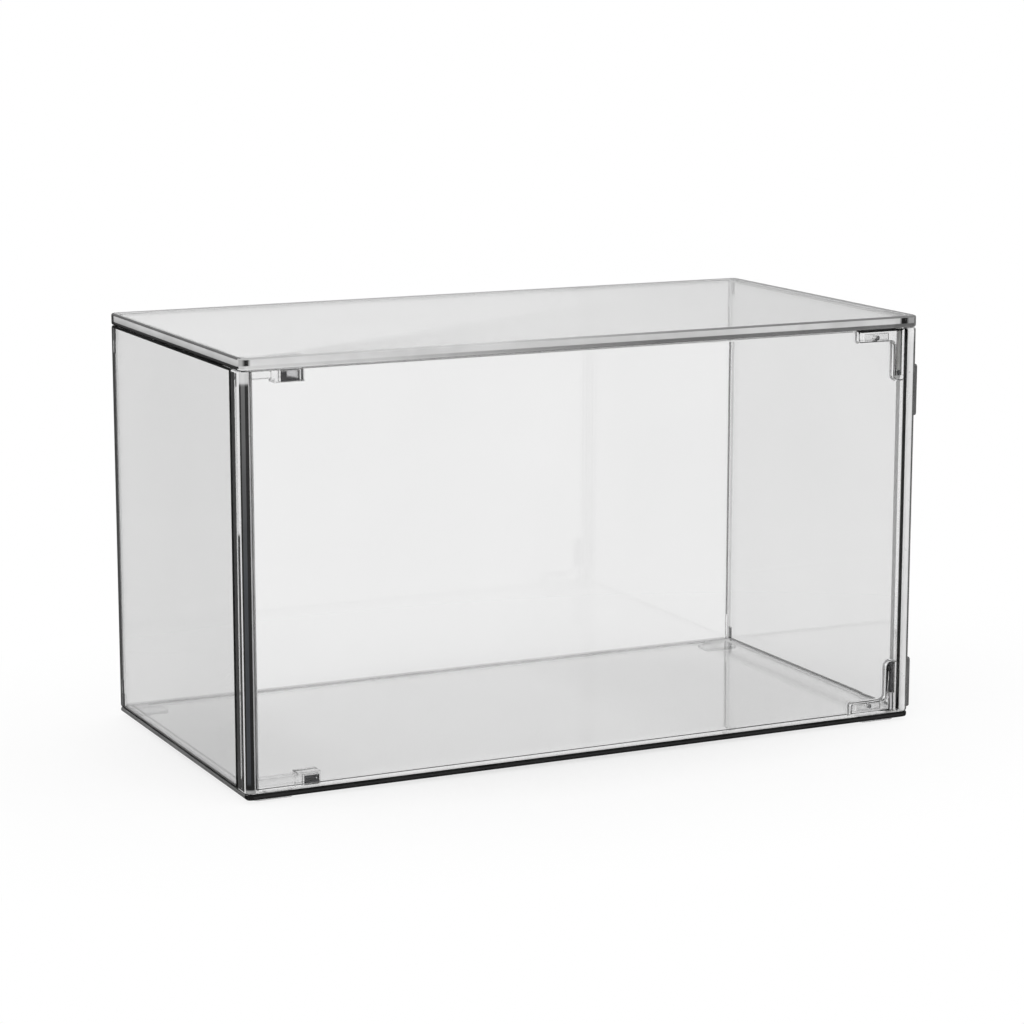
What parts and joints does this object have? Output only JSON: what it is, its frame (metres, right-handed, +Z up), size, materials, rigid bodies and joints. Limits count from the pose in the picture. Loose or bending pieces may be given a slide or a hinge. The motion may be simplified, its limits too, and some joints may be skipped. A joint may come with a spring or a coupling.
{
  "type": "display case",
  "caption": "Clear rectangular display case for small figures, with a full-width front door on corner pivots at the right and magnetic catches at the left, on low feet.",
  "frame": {"origin": "centre of the bounding box, at the bottom of the feet", "axes": "+X to the right along the width, +Y from the door to the back, +Z up"},
  "size_m": [0.3058, 0.156, 0.176],
  "materials": {
    "clear_plastic": "polished, water clear with grey edges",
    "dark_steel": "blackened, satin",
    "nickel_plate": "bright nickel plate",
    "nylon": "natural",
    "silicone": "translucent satin"
  },
  "bodies": {
    "case": {"base_panel": "clear_plastic", "top_panel": "clear_plastic", "back_panel": "clear_plastic", "left_side_panel": "clear_plastic", "right_side_panel": "clear_plastic", "left_front_post": "clear_plastic", "right_front_post": "clear_plastic", "foot_front_left": "silicone", "foot_back_left": "silicone", "foot_front_right": "silicone", "foot_back_right": "silicone", "dowel_top_front_left": "dark_steel", "dowel_base_front_left": "dark_steel", "dowel_top_back_left": "dark_steel", "dowel_base_back_left": "dark_steel", "dowel_top_front_right": "dark_steel", "dowel_base_front_right": "dark_steel", "dowel_top_back_right": "dark_steel", "dowel_base_back_right": "dark_steel", "upper_catch_bar": "clear_plastic", "lower_catch_bar": "clear_plastic", "upper_catch_magnet": "nickel_plate", "lower_catch_magnet": "nickel_plate", "lower_pivot_washer": "nylon", "upper_pivot_bush": "dark_steel"},
    "door": {"door_panel": "clear_plastic", "upper_hinge_patch": "clear_plastic", "lower_hinge_patch": "clear_plastic", "upper_patch_rivet": "nickel_plate", "lower_patch_rivet": "nickel_plate", "upper_door_magnet": "dark_steel", "lower_door_magnet": "dark_steel", "upper_pivot_pin": "nylon", "upper_pin_stop": "dark_steel", "lower_pivot_pin": "dark_steel"}
  },
  "joints": [
    {"name": "door_hinge", "type": "hinge", "parent": "case", "child": "door", "pos_m": [0.1442, -0.07455, 0.088], "axis": [0, 0, 1], "range_deg": [0, 105]}
  ]
}
